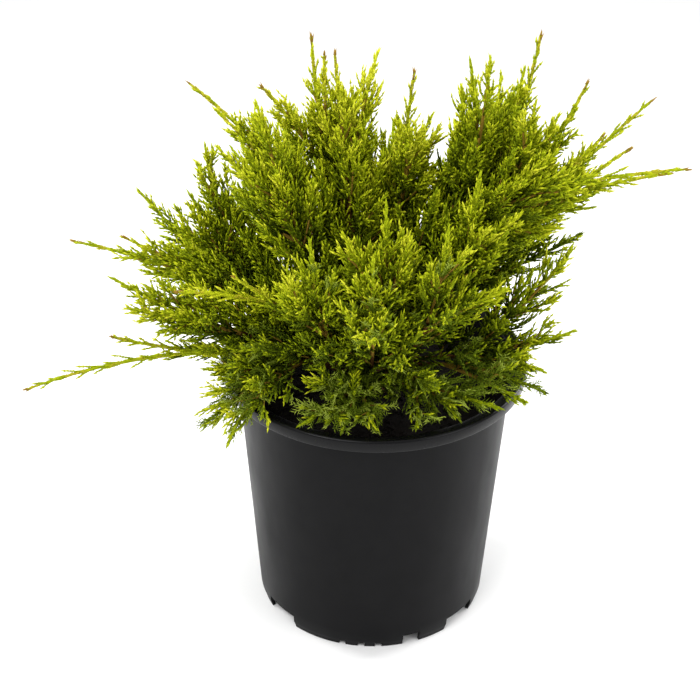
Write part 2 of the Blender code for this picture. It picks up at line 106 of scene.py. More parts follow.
def noise_between(made, scale, low, high, detail=4.0, stretch=(1, 1, 1)):
    """A noise in object space, mapped from low to high: a pair of colours or of numbers."""
    tree = made.node_tree
    place = tree.nodes.new("ShaderNodeTexCoord")
    shape = tree.nodes.new("ShaderNodeMapping")
    shape.inputs["Scale"].default_value = stretch
    noise = tree.nodes.new("ShaderNodeTexNoise")
    noise.inputs["Scale"].default_value = scale
    noise.inputs["Detail"].default_value = detail
    tree.links.new(place.outputs["Object"], shape.inputs["Vector"])
    tree.links.new(shape.outputs["Vector"], noise.inputs["Vector"])
    if isinstance(low, tuple):
        mix = tree.nodes.new("ShaderNodeMix")
        mix.data_type = "RGBA"
        mix.inputs["A"].default_value = (*low, 1.0)
        mix.inputs["B"].default_value = (*high, 1.0)
        tree.links.new(noise.outputs["Fac"], mix.inputs["Factor"])
        return noise, mix.outputs["Result"]
    ramp = tree.nodes.new("ShaderNodeMapRange")
    ramp.inputs["From Min"].default_value = 0.3
    ramp.inputs["From Max"].default_value = 0.7
    ramp.inputs["To Min"].default_value = low
    ramp.inputs["To Max"].default_value = high
    tree.links.new(noise.outputs["Fac"], ramp.inputs["Value"])
    return noise, ramp.outputs["Result"]


def feed(made, output, socket):
    """Drive a socket of a material's shader from one of its nodes."""
    made.node_tree.links.new(output, made.node_tree.nodes["Principled BSDF"].inputs[socket])


def add_bump(made, height, strength, distance):
    """Fine relief on a material, as deep in metres as the distance."""
    tree = made.node_tree
    bump = tree.nodes.new("ShaderNodeBump")
    bump.inputs["Strength"].default_value = strength
    bump.inputs["Distance"].default_value = distance
    tree.links.new(height, bump.inputs["Height"])
    feed(made, bump.outputs["Normal"], "Normal")


def mesh_of(name, bm):
    """A mesh made from the working one, which is then freed."""
    mesh = bpy.data.meshes.new(name)
    bm.to_mesh(mesh)
    bm.free()
    return mesh


def show(name, mesh, *materials):
    """A mesh put in the scene as a piece, with its materials."""
    piece = bpy.data.objects.new(name, mesh)
    bpy.context.scene.collection.objects.link(piece)
    for made in materials:
        mesh.materials.append(made)
    return piece


def apply_modifiers(piece):
    """Give a piece the mesh that its modifiers make, and clear them."""
    bpy.context.view_layer.update()
    mesh = bpy.data.meshes.new_from_object(piece.evaluated_get(bpy.context.evaluated_depsgraph_get()))
    piece.modifiers.clear()
    piece.data = mesh


def wall_radius(z):
    """The outside radius of the tapering wall at a height."""
    share = (z - FOOT_H) / (POT_H - RIM_LIP - FOOT_H)
    return WALL_FOOT_R + (WALL_TOP_R - WALL_FOOT_R) * share


def quarter(centre_r, centre_z, radius, first, last, steps=5):
    """Points of a rounded corner of the profile, from one angle to another."""
    turns = [math.radians(first + (last - first) * i / steps) for i in range(steps + 1)]
    return [(centre_r + radius * math.cos(a), centre_z + radius * math.sin(a)) for a in turns]


lip_z = POT_H - RIM_LIP
bead_z = lip_z - BEAD_DROP
inner_foot_r = wall_radius(FLOOR_Z) - WALL
inner_lip_r = wall_radius(lip_z) - WALL
pot_profile = [
    (0.0, FLOOR_Z),
    (inner_foot_r - FLOOR_CORNER, FLOOR_Z),
    (inner_foot_r, FLOOR_Z + FLOOR_CORNER),
    (inner_lip_r, lip_z),
    *quarter(inner_lip_r + RIM_EDGE * 2.6, POT_H - RIM_EDGE * 1.6, RIM_EDGE, 180, 110),
    (RIM_R - RIM_EDGE * 3.2, POT_H - RIM_EDGE * 0.45),
    *quarter(RIM_R - RIM_EDGE, POT_H - RIM_EDGE, RIM_EDGE, 105, 0, 7),
    *[(RIM_R - inward, lip_z + up) for inward, up in LIP_EDGE],
    (RIM_R - WALL, lip_z),
    (WALL_TOP_R + RIM_EDGE, lip_z + RIM_EDGE),
    (WALL_TOP_R + RIM_EDGE, bead_z + BEAD_ROUND),
    (WALL_TOP_R + RIM_EDGE * 0.6, bead_z),
    (wall_radius(bead_z - RIM_EDGE), bead_z - RIM_EDGE),
    *[(wall_radius(z), z) for z in WALL_RINGS],
    *[(WALL_FOOT_R + out, FOOT_H + up) for out, up in FOOT_EDGE],
    (FOOT_R, 0.0),
    (FOOT_R - WALL * 1.5, 0.0),
    (inner_foot_r - WALL, FLOOR_Z - FLOOR),
    (0.0, FLOOR_Z - FLOOR),
]


def turned(name, profile, steps, *materials):
    """A piece turned from its profile about the pot's axis."""
    mesh = bpy.data.meshes.new(name)
    mesh.from_pydata([(r, 0, z) for r, z in profile], [(i, i + 1) for i in range(len(profile) - 1)], [])
    piece = show(name, mesh, *materials)
    screw = piece.modifiers.new("turn", "SCREW")
    screw.steps = screw.render_steps = steps
    screw.use_merge_vertices = True
    screw.merge_threshold = 0.00001
    return piece


black_plastic = new_material("black_plastic", (0.003, 0.003, 0.0034), roughness=0.40, gloss=0.09)
_, roughness = noise_between(black_plastic, 38.0, 0.36, 0.48, detail=6.0, stretch=(1, 1, 0.4))
_, tint = noise_between(black_plastic, 55.0, (0.0022, 0.0022, 0.0026), (0.005, 0.005, 0.0055), detail=5.0)
grain, _ = noise_between(black_plastic, 900.0, 0.0, 1.0, detail=3.0)
feed(black_plastic, roughness, "Roughness")
feed(black_plastic, tint, "Base Color")
add_bump(black_plastic, grain.outputs["Fac"], strength=0.12, distance=0.0002)

rim_plastic = new_material("rim_plastic", (0.003, 0.003, 0.0034), roughness=0.28, gloss=0.14)
_, roughness = noise_between(rim_plastic, 44.0, 0.22, 0.34, detail=5.0)
feed(rim_plastic, roughness, "Roughness")

pot = turned("nursery_pot", pot_profile, POT_STEPS, black_plastic, rim_plastic)
notches = bpy.data.collections.new("notches")
bpy.context.scene.collection.children.link(notches)
for width_deg, height, places in (WIDE_NOTCH, MID_NOTCH, SMALL_NOTCH):
    for place in places:
        turn = math.radians(place)
        bm = bmesh.new()
        bmesh.ops.create_cube(bm, size=1.0)
        width = 2 * FOOT_R * math.sin(math.radians(width_deg / 2))
        bmesh.ops.scale(bm, vec=(NOTCH_DEEP, width, height * 2), verts=bm.verts)
        bmesh.ops.translate(bm, vec=(FOOT_R, 0, 0), verts=bm.verts)
        bmesh.ops.rotate(bm, cent=(0, 0, 0), matrix=Matrix.Rotation(turn, 3, "Z"), verts=bm.verts)
        notches.objects.link(bpy.data.objects.new("notch", mesh_of("notch", bm)))
cut = pot.modifiers.new("drain_notches", "BOOLEAN")
cut.operation = "DIFFERENCE"
cut.operand_type = "COLLECTION"
cut.collection = notches
cut.solver = "EXACT"
apply_modifiers(pot)
for cutter in list(notches.objects):
    bpy.data.objects.remove(cutter)
bpy.data.collections.remove(notches)
for face in pot.data.polygons:
    face.use_smooth = True
    on_rim = face.center.z > bead_z and face.center.xy.length > WALL_TOP_R
    face.material_index = 1 if on_rim else 0
pot.data.set_sharp_from_angle(angle=math.radians(SHARP_EDGE))
pot.location = POT_AXIS
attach(pot, "root")
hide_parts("pot")

# The soil: the top of a moist, bark-based potting mix, nearly 3 cm under the rim. Its dark brown is
# taken down to almost black as painted shade from the crown. It is lumpy, evens out towards the wall,
# and is strewn with small bark chips.
SOIL_LOW, SOIL_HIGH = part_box("soil")
SOIL_Z = SOIL_HIGH.z
SOIL_R = (SOIL_HIGH.x - SOIL_LOW.x) / 2
SOIL_RINGS = 46
SOIL_TURNS = 150
SOIL_LUMP = 0.0016
SOIL_WAVES = 26
WAVE_RATES = (60, 420)
WAVE_SHARE = 0.22
SOIL_SINK = 0.9
LEVEL_EDGE = 0.012
SKIRT_DEEP = 0.020
SKIRT_SHARE = 0.86
CHIPS = 900
CHIP_SIZES = (0.0012, 0.0042)
CHIP_CLEAR = 0.004

soil_dice = random.Random(5)
lumps = [
    (soil_dice.uniform(*WAVE_RATES), soil_dice.uniform(0, math.tau), soil_dice.uniform(0, math.tau))
    for _ in range(SOIL_WAVES)
]


def soil_height(x, y):
    """How far the soil stands over its level, from a sum of seeded waves that fade at the wall."""
    total = 0.0
    for rate, way, phase in lumps:
        total += math.sin((x * math.cos(way) + y * math.sin(way)) * rate + phase) * 60 / (rate + 40)
    edge = min(1.0, (SOIL_R - math.hypot(x, y)) / LEVEL_EDGE)
    return SOIL_LUMP * total * WAVE_SHARE * edge - SOIL_LUMP * SOIL_SINK


bm = bmesh.new()
middle = bm.verts.new((0, 0, SOIL_Z + soil_height(0, 0)))
rings = []
for ring in range(1, SOIL_RINGS + 1):
    radius = SOIL_R * (ring / SOIL_RINGS) ** 0.8
    row = []
    for step in range(SOIL_TURNS):
        turn = math.tau * step / SOIL_TURNS
        x, y = radius * math.cos(turn), radius * math.sin(turn)
        row.append(bm.verts.new((x, y, SOIL_Z + soil_height(x, y))))
    rings.append(row)
rings.append([
    bm.verts.new((v.co.x * SKIRT_SHARE, v.co.y * SKIRT_SHARE, SOIL_Z - SKIRT_DEEP)) for v in row
])
for step in range(SOIL_TURNS):
    bm.faces.new((middle, rings[0][step], rings[0][(step + 1) % SOIL_TURNS]))
for inner, outer in zip(rings, rings[1:]):
    for step in range(SOIL_TURNS):
        beside = (step + 1) % SOIL_TURNS
        bm.faces.new((inner[step], outer[step], outer[beside], inner[beside]))
bm.faces.new(list(reversed(rings[-1])))
for _ in range(CHIPS):
    radius = (SOIL_R - CHIP_CLEAR) * math.sqrt(soil_dice.random())
    turn = soil_dice.uniform(0, math.tau)
    x, y = radius * math.cos(turn), radius * math.sin(turn)
    size = soil_dice.uniform(*CHIP_SIZES)
    chip = bmesh.ops.create_icosphere(bm, subdivisions=1, radius=1.0)["verts"]
    bmesh.ops.scale(bm, vec=(size, size * soil_dice.uniform(0.3, 0.7), size * 0.35), verts=chip)
    spin = Matrix.Rotation(soil_dice.uniform(0, math.tau), 3, "Z") @ Matrix.Rotation(
        soil_dice.uniform(-0.6, 0.6), 3, "X"
    )
    bmesh.ops.rotate(bm, cent=(0, 0, 0), matrix=spin, verts=chip)
    bmesh.ops.translate(bm, vec=(x, y, SOIL_Z + soil_height(x, y) + size * 0.1), verts=chip)
bmesh.ops.recalc_face_normals(bm, faces=bm.faces)

# Painted shade: the mix's brown is darkened near black, as the crown shades it; the chips share it.
potting_mix = new_material("potting_mix", (0.02, 0.013, 0.009), roughness=0.95, gloss=0.2)
_, tint = noise_between(potting_mix, 260.0, (0.0012, 0.0009, 0.0006), (0.009, 0.0055, 0.0034), detail=8.0)
crumbs, _ = noise_between(potting_mix, 700.0, 0.0, 1.0, detail=6.0)
feed(potting_mix, tint, "Base Color")
add_bump(potting_mix, crumbs.outputs["Fac"], strength=0.8, distance=0.0012)
soil = show("potting_mix", mesh_of("potting_mix", bm), potting_mix)
soil.location = POT_AXIS
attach(soil, "root")
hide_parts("soil")

# The limbs: a short leaning trunk, and a bough for most masses of foliage, under thin reddish-brown
# bark that peels in fine strips. Each limb leaves the trunk by the same rule as its solid does.
FIT_GAP = 0.0003
TRUNK_H = 0.086
TRUNK_LEAN = 0.006
LEANS_TOWARDS = 150
TRUNK_FLARE_R = 0.0165
FLARE_FALL = 4.5
TRUNK_R = 0.0098
TRUNK_TOP_R = 0.0062
LOWEST_LIMB = 0.010
LIMB_GAP = 0.0070
LIMB_TRIES = 40
LIMB_SAMPLES = 50
LEADER_SAMPLES = 60
FORK_SAMPLES = 24
RIM_SAMPLES = 30
RISE_START = 22.0
RISE_SHARE = 0.62
STEEPEST_RISE = 86.0
ARCH_REACH = 0.50
RIM_CLEAR = 0.0045
BOUGH_SHARE = 0.26
BOUGH_R = 0.0031
STEM_R = 0.0023
STEM_TIP_R = 0.0010
STEM_POINTS = 6
FORK_POINTS = 3
WHIP_POINTS = 3
END_LONG = 0.034
FORK_WHIP = 0.018
FORK_WHIP_SHARE = 0.6
FORK_BOW = 0.16
LEADER_BARK_SHARE = 0.2
TRUNK_RINGS = 31
BARK_SIDES = 12
BARK_RELIEF = 0.10

# The share of a stem where its side leaders split off: without a bough, and with one.
FORK_AT = (0.40, 0.25)

# Each mass: its name, whether a bough carries it, how much more than usual its limb rises, how
# long its whip is, its leader's tip, and those of its side leaders, as (bearing, reach, height).
CROWN = (
    ("far_left", True, 2, 0.150, (185, 0.289, 0.213), ((195, 0.217, 0.283),)),
    ("left", True, 4, 0.055, (178, 0.245, 0.334), ((179, 0.203, 0.341),)),
    ("left_front", True, -22, 0.024, (196, 0.214, 0.338), ((200, 0.207, 0.318),)),
    ("left_shoulder", False, -34, 0.040, (156, 0.219, 0.340), ((164, 0.144, 0.406), (173, 0.153, 0.364))),
    ("upper_left", True, 26, 0.060, (158, 0.163, 0.450), ((165, 0.134, 0.440),)),
    ("top_left", True, 2, 0.025, (201, 0.112, 0.448), ((192, 0.095, 0.469), (167, 0.131, 0.409))),
    ("top_peak_left", True, 0, 0.055, (143, 0.066, 0.499), ((206, 0.046, 0.510), (180, 0.090, 0.474))),
    ("top_peak", True, 12, 0.035, (180, 0.034, 0.502), ((91, 0.040, 0.487),)),
    ("inner_right", False, 10, 0.045, (66, 0.071, 0.460), ((354, 0.047, 0.443), (313, 0.048, 0.457))),
    ("top_right", True, -25, 0.030, (16, 0.073, 0.489), ((346, 0.085, 0.508), (28, 0.074, 0.460))),
    ("peak_right", True, -14, 0.050, (25, 0.141, 0.494), ((19, 0.121, 0.474), (37, 0.124, 0.455))),
    ("upper_right", True, -14, 0.035, (7, 0.163, 0.471), ((0, 0.139, 0.453), (346, 0.121, 0.477))),
    ("far_right_high", True, 3, 0.070, (10, 0.220, 0.449), ((3, 0.176, 0.431), (354, 0.194, 0.434))),
    ("far_right", True, 34, 0.090, (341, 0.240, 0.445), ((345, 0.225, 0.432),)),
    ("right", True, 10, 0.030, (346, 0.170, 0.394), ((339, 0.151, 0.383),)),
    ("right_rim", False, -24, 0.022, (339, 0.167, 0.294), ((329, 0.154, 0.269), (349, 0.156, 0.354))),
    ("right_front_low", False, 6, 0.018, (326, 0.161, 0.256), ((319, 0.153, 0.253),)),
    ("left_low", False, 8, 0.010, (212, 0.162, 0.219), ((223, 0.159, 0.217), (204, 0.150, 0.257))),
    ("front_low_left", False, 14, 0.015, (258, 0.127, 0.240), ((243, 0.129, 0.240), (270, 0.118, 0.240))),
    ("front_low_right", False, 14, 0.015, (302, 0.124, 0.240), ((285, 0.122, 0.240), (316, 0.136, 0.244))),
    ("front_left_high", True, 8, 0.060, (216, 0.186, 0.355), ((216, 0.135, 0.351),)),
    ("front_peak", True, -34, 0.026, (274, 0.080, 0.415), ((284, 0.101, 0.396), (254, 0.096, 0.396))),
    ("front_right_peak", True, -32, 0.022, (319, 0.100, 0.433), ((312, 0.122, 0.401), (325, 0.130, 0.405))),
    ("front_left", True, -32, 0.022, (243, 0.112, 0.393), ((238, 0.133, 0.363),)),
    ("front_middle", True, -30, 0.014, (268, 0.118, 0.387), ((260, 0.134, 0.347),)),
    ("front_right", True, -28, 0.018, (296, 0.117, 0.408), ((314, 0.139, 0.354),)),
    ("back_left", True, 6, 0.025, (130, 0.195, 0.352), ((118, 0.160, 0.395), (149, 0.172, 0.330))),
    ("back_top", True, 4, 0.025, (84, 0.150, 0.378), ((100, 0.115, 0.405), (68, 0.125, 0.400))),
    ("back_right", True, 6, 0.025, (52, 0.200, 0.345), ((66, 0.170, 0.375), (40, 0.165, 0.395))),
    ("back_left_low", True, 8, 0.030, (149, 0.215, 0.285), ((136, 0.190, 0.270), (162, 0.200, 0.280))),
    ("back_low", True, 8, 0.030, (100, 0.215, 0.275), ((82, 0.200, 0.260),)),
    ("back_right_low", True, 8, 0.030, (38, 0.205, 0.290), ((32, 0.135, 0.290), (55, 0.195, 0.280))),
)

# One limb rises more at first than its solid does, by degrees. One mass has a side leader that its
# solid hasn't: it reaches as far forward as that solid's furthest spray.
RISES_MORE = {"far_right": 10}
MORE_FORKS = {"front_middle": ((269, 0.162, 0.346),)}


def bearing(degrees, rise=0.0):
    """The unit vector at a bearing, from +X towards +Y, and at a rise."""
    turn, lift = math.radians(degrees), math.radians(rise)
    return Vector((math.cos(turn) * math.cos(lift), math.sin(turn) * math.cos(lift), math.sin(lift)))


def tip_place(tip):
    """A tip's place from the pot's axis at ground level."""
    degrees, reach, height = tip
    return bearing(degrees) * reach + Vector((0, 0, height))


def trunk_point(height):
    """A point on the trunk's line, and the trunk's radius there."""
    share = height / TRUNK_H
    flare = (TRUNK_FLARE_R - TRUNK_R) * max(0.0, 1 - share * FLARE_FALL) ** 2
    radius = TRUNK_R + (TRUNK_TOP_R - TRUNK_R) * share + flare
    lean = bearing(LEANS_TOWARDS) * TRUNK_LEAN * share**2
    return lean + Vector((0, 0, SOIL_Z + FIT_GAP + height)), radius


def bend(start, control, end, count, first=0.0, last=1.0):
    """Points along a quadratic arc between two shares of its way."""
    places = []
    for step in range(count):
        t = first + (last - first) * step / (count - 1)
        places.append(start * (1 - t) ** 2 + control * 2 * t * (1 - t) + end * t * t)
    return places


def over_rim(places):
    """Whether a line passes clear over the rim of the pot, and over the soil inside it."""
    inside = [p for p in places if p.xy.length < RIM_R + RIM_CLEAR]
    crossing = [p for p in inside if p.xy.length > WALL_TOP_R - RIM_CLEAR]
    return all(p.z > POT_H + RIM_CLEAR for p in crossing) and all(
        p.z > SOIL_Z + RIM_CLEAR for p in inside[3:]
    )


def limb_arc(entry, height):
    """Start, control and end of the arc from the trunk's side to a leader's tip."""
    _, _, arch, _, tip, _ = entry
    axis_point, trunk_r = trunk_point(height)
    end = tip_place(tip)
    away = end - axis_point
    chord = math.degrees(math.atan2(away.z, away.xy.length))
    turn = math.degrees(math.atan2(away.y, away.x))
    for lift in range(0, 60, 3):
        rise = min(RISE_START + RISE_SHARE * chord + arch + lift, STEEPEST_RISE)
        clear = trunk_r + BOUGH_R * math.sin(math.radians(rise)) + FIT_GAP * 2
        start = axis_point + bearing(turn) * clear
        control = start + bearing(turn, rise) * (end - start).length * ARCH_REACH
        if over_rim(bend(start, control, end, RIM_SAMPLES)):
            break
    return start, control, end


def length_of(line):
    return sum((b - a).length for a, b in zip(line, line[1:]))


def part_way(line, share):
    """The point and direction at a share of a line's length."""
    distance = share * length_of(line)
    for a, b in zip(line, line[1:]):
        step = (b - a).length
        if distance <= step:
            return a.lerp(b, distance / step), (b - a).normalized()
        distance -= step
    return line[-1], (line[-1] - line[-2]).normalized()


def shoot(start, control, end, count, first, whip):
    """The few points that the solid of a shoot passes through, in its body and then its whip."""
    body_end = 1 - min(whip, END_LONG) / ((end - control).length * 2)
    body = bend(start, control, end, count, first, body_end)
    return body + bend(start, control, end, WHIP_POINTS + 1, body_end)[1:]


def fork_arc(stem, share, fork):
    """A side leader: it leaves its stem at a share of the way and bows over to its tip."""
    split, onward = part_way(stem, share)
    end = tip_place(fork)
    middle = split.lerp(end, 0.5) + onward * (end - split).length * FORK_BOW
    for _ in range(12):
        if over_rim(bend(split, middle, end, RIM_SAMPLES)):
            break
        middle.z += RIM_CLEAR
    return split, middle, end


def arcs_of(entry, height):
    """The arc of a mass's limb and leader, those of its side leaders, and points along them all."""
    _, carried, _, whip, _, forks = entry
    arc = limb_arc(entry, height)
    start, control, end = arc
    joint = FIT_GAP * 2 / ((control - start).length + (end - control).length)
    stem = shoot(*arc, STEM_POINTS, BOUGH_SHARE + joint if carried else 0.0, whip)
    fork_whip = max(FORK_WHIP, whip * FORK_WHIP_SHARE)
    side_arcs = [fork_arc(stem, FORK_AT[carried], fork) for fork in forks]
    points = [bend(*arc, LIMB_SAMPLES)]
    points += [shoot(*side_arc, FORK_POINTS, 0.0, fork_whip) for side_arc in side_arcs]
    return arc, side_arcs, [np.array(line) for line in points]


def steepness(entry):
    """How steeply a mass's tip stands over the soil: flat limbs leave the trunk lowest."""
    _, reach, height = entry[4]
    return math.atan2(height - SOIL_Z, reach)


heights, taken = {}, []
for entry in sorted(CROWN, key=steepness):
    best_gap = -1.0
    for step in range(LIMB_TRIES):
        height = LOWEST_LIMB + (TRUNK_H - LOWEST_LIMB) * step / (LIMB_TRIES - 1)
        own = arcs_of(entry, height)[2]
        gap = min(
            (np.linalg.norm(a[:, None] - b[None], axis=2).min() for a in own for b in taken),
            default=1.0,
        )
        if gap > best_gap:
            best_gap, best, heights[entry[0]] = gap, own, height
        if gap > LIMB_GAP:
            break
    taken += best

limb_lines = {}
for name, held, arch, whip, tip, forks in CROWN:
    grown = (name, held, arch + RISES_MORE.get(name, 0), whip, tip, forks + MORE_FORKS.get(name, ()))
    arc, side_arcs, _ = arcs_of(grown, heights[name])
    side_lines = [bend(*side_arc, FORK_SAMPLES) for side_arc in side_arcs]
    limb_lines[name] = bend(*arc, LEADER_SAMPLES), side_lines


def bark_tube(bm, places, radii, dice):
    """A limb's tube with long ridges that wander round it, closed at both ends."""
    ridges = [(dice.randint(3, 7), dice.uniform(0, math.tau), dice.uniform(60, 160)) for _ in range(4)]
    rows, along = [], 0.0
    for index, (place, radius) in enumerate(zip(places, radii)):
        before, after = places[max(index - 1, 0)], places[min(index + 1, len(places) - 1)]
        turn = (after - before).to_track_quat("Z", "Y")
        along += (place - before).length
        row = []
        for side in range(BARK_SIDES):
            angle = math.tau * side / BARK_SIDES
            relief = sum(math.sin(angle * n + phase + along * rate) for n, phase, rate in ridges) / 4
            reach = radius * (1 + BARK_RELIEF * relief)
            out = Vector((reach * math.cos(angle), reach * math.sin(angle), 0))
            row.append(bm.verts.new(place + turn @ out))
        rows.append(row)
    for low, high in zip(rows, rows[1:]):
        for side in range(BARK_SIDES):
            beside = (side + 1) % BARK_SIDES
            bm.faces.new((low[side], low[beside], high[beside], high[side]))
    bm.faces.new(list(reversed(rows[0])))
    bm.faces.new(rows[-1])


bark_dice = random.Random(3)
bark_bm = bmesh.new()
placed = [trunk_point(TRUNK_H * i / (TRUNK_RINGS - 1)) for i in range(TRUNK_RINGS)]
bark_tube(bark_bm, [p for p, _ in placed], [r for _, r in placed], bark_dice)
for name, carried, *_ in CROWN:
    leader, _ = limb_lines[name]
    share = BOUGH_SHARE if carried else LEADER_BARK_SHARE
    count = int(share * len(leader)) + 2
    radii = [BOUGH_R + (STEM_R - BOUGH_R) * i / (count - 1) for i in range(count)]
    bark_tube(bark_bm, leader[:count], radii, bark_dice)
bmesh.ops.recalc_face_normals(bark_bm, faces=bark_bm.faces)
mesh = mesh_of("trunk_and_boughs", bark_bm)
for face in mesh.polygons:
    face.use_smooth = True

BARK_DARK = (0.060, 0.030, 0.018)
BARK_PALE = (0.260, 0.115, 0.050)
bark = new_material("bark", (0.16, 0.07, 0.035), roughness=0.85, gloss=0.2)
_, tint = noise_between(bark, 160.0, BARK_DARK, BARK_PALE, detail=8.0, stretch=(1, 1, 0.25))
strips, _ = noise_between(bark, 420.0, 0.0, 1.0, detail=6.0, stretch=(1, 1, 0.15))
feed(bark, tint, "Base Color")
add_bump(bark, strips.outputs["Fac"], strength=0.9, distance=0.0012)
boughs = show("trunk_and_boughs", mesh, bark)
boughs.location = POT_AXIS
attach(boughs, "root")
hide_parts("trunk", *[f"bough_{name}" for name, carried, *_ in CROWN if carried])

# The foliage: scale leaves that overlap like tiles along thin branchlets. The branchlets stand
# alternately on a spray, the sprays stand all round a leader and its side plumes, and each leader
# ends in a slim whip. Outer growth is yellow-green; the growth it shades is painted almost black as
# painted shade, and sprays that face up are painted lighter as painted light.

# Green tones from painted shade to lit tip: the dark ones stand for shade deep in the crown, the light
# ones for painted light on outer growth up to its yellow-green tips. Then those of the twigs, of
# young needles and of a golden whip.
TONES = (
    ("green_shade", (0.014, 0.024, 0.001)),
    ("green_deep", (0.050, 0.078, 0.002)),
    ("green_dark", (0.115, 0.160, 0.003)),
    ("green_mid", (0.225, 0.290, 0.004)),
    ("green_bright", (0.360, 0.430, 0.006)),
    ("green_lime", (0.500, 0.550, 0.011)),
    ("green_tip", (0.650, 0.670, 0.030)),
    ("twig_brown", (0.110, 0.050, 0.013)),
    ("twig_golden", (0.310, 0.190, 0.027)),
    ("needle_dark", (0.062, 0.098, 0.004)),
    ("needle_mid", (0.155, 0.218, 0.010)),
    ("needle_pale", (0.330, 0.410, 0.050)),
    ("whip_gold", (0.480, 0.440, 0.026)),
)
TONE = {name: index for index, (name, _) in enumerate(TONES)}
LIGHTEST = TONE["green_tip"]
foliage_materials = [new_material(name, colour, roughness=0.75, gloss=0.08) for name, colour in TONES]


class Growth:
    """Scales and stems gathered as arrays: corners, triangles and the tone of each triangle."""

    def __init__(self):
        self.corners, self.faces, self.tones, self.count = [], [], [], 0

    def add(self, corners, faces, tones):
        self.corners.append(corners)
        self.faces.append(faces + self.count)
        self.tones.append(tones)
        self.count += len(corners)

    def arrays(self):
        tones = np.concatenate(self.tones).astype(int)
        return np.concatenate(self.corners), np.concatenate(self.faces), tones


def across(ways):
    """Two unit vectors square to each way."""
    helper = np.where(np.abs(ways[:, 2:3]) < 0.9, [[0.0, 0.0, 1.0]], [[1.0, 0.0, 0.0]])
    first = np.cross(ways, helper)
    first /= np.linalg.norm(first, axis=1, keepdims=True)
    return first, np.cross(ways, first)


def scales(bases, tips, radii, tones, dice):
    """Pointed scales: each a three-sided spike from its sunk root to its tip."""
    ways = tips - bases
    ways /= np.linalg.norm(ways, axis=1, keepdims=True)
    first, second = across(ways)
    phase = dice.uniform(0, math.tau, len(bases))
    corners = np.empty((len(bases), 4, 3))
    for corner in range(3):
        angle = (phase + math.tau * corner / 3)[:, None]
        corners[:, corner] = bases + (first * np.cos(angle) + second * np.sin(angle)) * radii[:, None]
    corners[:, 3] = tips
    pattern = np.array([(0, 1, 3), (1, 2, 3), (2, 0, 3), (0, 2, 1)])
    faces = (np.arange(len(bases)) * 4)[:, None, None] + pattern
    return corners.reshape(-1, 3), faces.reshape(-1, 3), np.repeat(tones, 4)


def spike(growth, base, tip, radius, tone, dice):
    """One spike shaped like a scale: the core of a branchlet or shoot, or the whole of a nub."""
    growth.add(*scales(base[None], tip[None], np.array([radius]), [tone], dice))


def stem_tube(places, radii, tones):
    """A three-sided tapering stem through the given places, closed at both ends."""
    places = np.asarray(places, float)
    ways = np.gradient(places, axis=0)
    ways /= np.linalg.norm(ways, axis=1, keepdims=True)
    first, second = across(ways)
    angles = math.tau * np.arange(3) / 3
    rings = places[:, None] + np.asarray(radii)[:, None, None] * (
        first[:, None] * np.cos(angles)[None, :, None] + second[:, None] * np.sin(angles)[None, :, None]
    )
    faces, shades = [(0, 2, 1)], [tones[0]]
    for ring in range(len(places) - 1):
        for side in range(3):
            a, b = ring * 3 + side, ring * 3 + (side + 1) % 3
            faces += [(a, b, b + 3), (a, b + 3, a + 3)]
            shades += [tones[ring]] * 2
    end = (len(places) - 1) * 3
    faces.append((end, end + 1, end + 2))
    shades.append(tones[-1])
    return rings.reshape(-1, 3), np.array(faces), np.array(shades)


# One scale leaf, how closely they stand, and by how many degrees they lean off their branchlet.
SCALE_LONG = 0.0047
SCALE_R = 0.00108
SCALE_STEP = 0.0033
SCALE_STEP_INNER = 0.0050
SCALE_LEAN = (3, 9)
TONE_VARIES = 0.55
GOLDEN_ANGLE = 137.5


def clothe(growth, base, way, length, step, tones, dice, long=SCALE_LONG, radius=SCALE_R, lean=SCALE_LEAN):
    """Scales all along a straight branchlet, in turns round it, and one straight on at its end.

    The tones are those of its root and of its tip.
    """
    shares = np.arange(step * 0.6, length, step) / length
    if len(shares) == 0:
        shares = np.array([0.5])
    ways = np.repeat(way[None], len(shares), axis=0)
    one, two = across(ways)
    angle = (np.arange(len(shares)) * math.radians(GOLDEN_ANGLE) + dice.uniform(0, math.tau))[:, None]
    out = one * np.cos(angle) + two * np.sin(angle)
    lean = np.radians(dice.uniform(*lean, len(shares)))[:, None]
    leaning = ways * np.cos(lean) + out * np.sin(lean)
    roots = base + way * (shares * length)[:, None]
    tips = roots + leaning * long * dice.uniform(0.8, 1.15, len(shares))[:, None]
    roots = np.concatenate([roots, [base + way * length * 0.92]])
    tips = np.concatenate([tips, [base + way * (length + long * 0.7)]])
    along = np.append(shares, 1.0)
    shades = tones[0] + (tones[1] - tones[0]) * along
    if tones[1] <= LIGHTEST:
        varied = shades + dice.uniform(-TONE_VARIES, TONE_VARIES, len(along))
        shades = np.minimum(varied, LIGHTEST)
    shades = np.round(shades).astype(int)
    radii = np.full(len(roots), radius) * dice.uniform(0.85, 1.1, len(roots))
    growth.add(*scales(roots, tips, radii, shades, dice))


# A spray: its stem, and the branchlets on it, which lean out by degrees that fall towards its tip.
# About one branchlet in five stands out of the flat of the spray. Nubs are short side shoots.
SPRAY_R = 0.0010
SPRAY_SIZES = (0.010, 0.015, 0.021, 0.028, 0.036, 0.046, 0.058)
SPRAY_KINDS = 4
SPRAY_FOOT = 0.006
SPRAY_SWAY = 0.05
BRANCHLET_STEP = 0.0034
BRANCHLET_LONG = 0.0240
BRANCHLET_SHORT = 0.0065
BRANCHLET_R = 0.0012
BRANCHLET_SPREAD = (33, 22)
BRANCHLET_TURN = 28
STRAY_SHARE = 0.22
STRAY_TURN = 65
NUB_STEP = 0.0056
NUB_LONG = 0.0032
NUB_GROWTH = 0.16
NUB_LEAN = 0.9
TIP_ROOM = 0.003


